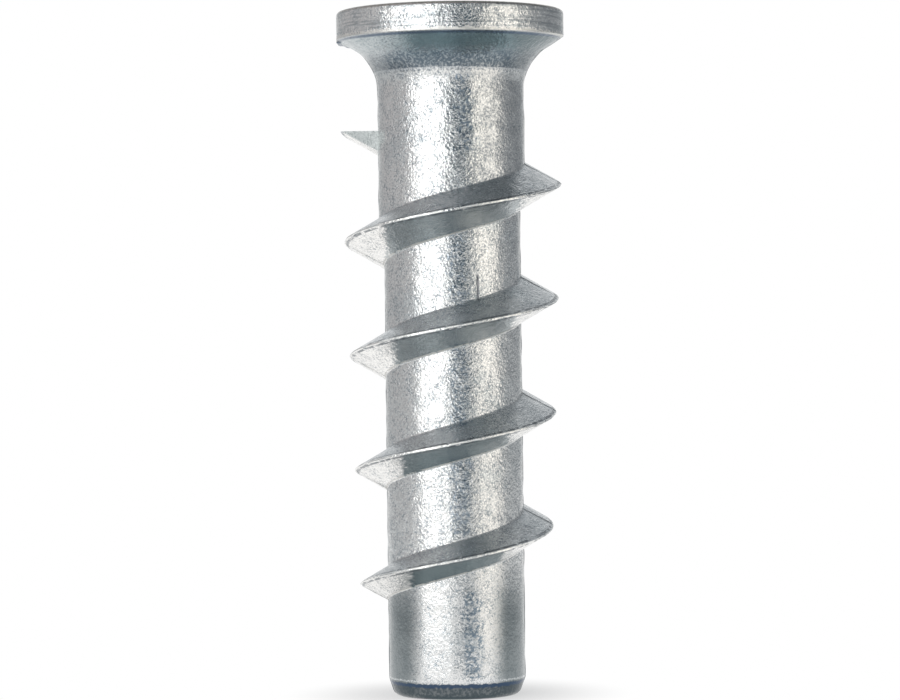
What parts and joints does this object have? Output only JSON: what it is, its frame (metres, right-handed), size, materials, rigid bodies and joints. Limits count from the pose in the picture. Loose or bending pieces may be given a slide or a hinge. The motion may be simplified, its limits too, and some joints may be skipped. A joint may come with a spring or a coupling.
{
  "type": "aerated concrete anchor",
  "caption": "One-piece cast metal anchor for aerated concrete: flange, straight shank, coarse outer thread, hexagon drive socket and a blind inner thread for a bolt.",
  "frame": {"origin": "centre of the closed tail's end face, on the anchor's axis", "axes": "+Z along the axis from the tail to the flange, which is also the way the bolt leaves; the die's parting plane is the XZ plane, and -Y is the side that the picture shows"},
  "size_m": [0.02, 0.02, 0.06],
  "materials": {
    "die_cast_zinc": "satin die-cast zinc with a fine orange-peel skin and thin parting flash"
  },
  "bodies": {
    "root": {"anchor_body": "die_cast_zinc"}
  },
  "joints": []
}
